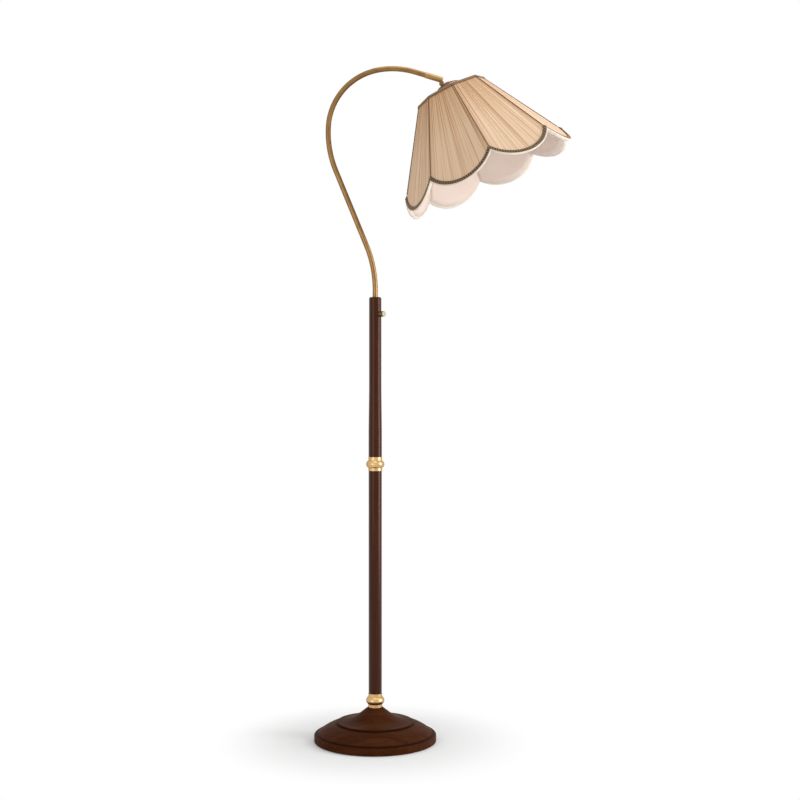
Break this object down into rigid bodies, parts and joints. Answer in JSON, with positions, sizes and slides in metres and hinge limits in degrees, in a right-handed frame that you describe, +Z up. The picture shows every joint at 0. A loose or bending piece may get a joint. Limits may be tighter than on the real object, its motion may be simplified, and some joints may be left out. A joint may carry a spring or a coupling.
{
  "type": "bridge floor lamp",
  "caption": "Floor lamp with a turned round base, slim wooden pole with turned collars, a bent swivel arm and a tilting pleated shade with a scalloped edge.",
  "frame": {"origin": "centre of the base on the floor", "axes": "+Z up along the pole, +X the way the arm carries the shade at rest, -Y the side the picture is taken from"},
  "size_m": [0.5848, 0.4048, 1.5493],
  "materials": {
    "walnut": "satin lacquered walnut",
    "cast_iron": "black painted casting",
    "felt": "dark felt",
    "rubber": "moulded rubber",
    "zinc_steel": "zinc plated",
    "satin_brass": "satin aged brass",
    "black_plastic": "moulded, fine matte",
    "lead_sheath": "flexible sheath",
    "white_enamel": "white enamel",
    "pleated_cloth": "pleated satin weave",
    "braid": "woven braid",
    "lining_cloth": "smooth lining",
    "contact_brass": "bright",
    "bulb_aluminium": "rolled thread cap",
    "bulb_glass": "pearl glass"
  },
  "bodies": {
    "stand": {"base_shell": "walnut", "base_weight": "cast_iron", "base_pad": "felt", "cord_gland": "rubber", "tie_rod": "zinc_steel", "base_washer": "zinc_steel", "base_nut": "zinc_steel", "lower_collar": "satin_brass", "lower_pole": "walnut", "middle_collar": "satin_brass", "joint_rod": "zinc_steel", "upper_pole": "walnut", "arm_bush": "satin_brass", "stop_screw": "zinc_steel", "thrust_washer": "satin_brass", "switch_body": "black_plastic", "switch_rosette": "satin_brass", "stand_lead": "lead_sheath"},
    "knob": {"switch_knob": "satin_brass"},
    "arm": {"arm_tube": "satin_brass", "arm_lead": "lead_sheath", "arm_foot": "satin_brass", "arm_sleeve": "satin_brass", "arm_fork": "satin_brass", "pivot_screw": "satin_brass", "pivot_nut": "satin_brass"},
    "shade": {"pleated_panel_1": "pleated_cloth", "pleated_panel_2": "pleated_cloth", "pleated_panel_3": "pleated_cloth", "pleated_panel_4": "pleated_cloth", "pleated_panel_5": "pleated_cloth", "pleated_panel_6": "pleated_cloth", "pleated_panel_7": "pleated_cloth", "pleated_panel_8": "pleated_cloth", "scallop_braid": "braid", "top_binding": "braid", "rib_piping": "braid", "shade_lining": "lining_cloth", "shade_frame": "zinc_steel", "shade_spider": "white_enamel", "shade_cap": "satin_brass", "holder_nipple": "zinc_steel", "lampholder_body": "black_plastic", "holder_contact": "contact_brass", "holder_ring": "black_plastic", "bulb_cap": "bulb_aluminium", "bulb_glass": "bulb_glass"}
  },
  "joints": [
    {"name": "arm_swivel", "type": "hinge", "parent": "stand", "child": "arm", "pos_m": [0, 0, 1], "axis": [0, 0, 1], "range_deg": [-160, 160]},
    {"name": "shade_tilt", "type": "hinge", "parent": "arm", "child": "shade", "pos_m": [0.15246, 0, 1.50949], "axis": [0, 1, 0], "range_deg": [-40, 35]},
    {"name": "switch_turn", "type": "hinge", "parent": "stand", "child": "knob", "pos_m": [0, 0, 0.979], "axis": [0.829, -0.5592, 0], "range_deg": [0, 280]}
  ]
}
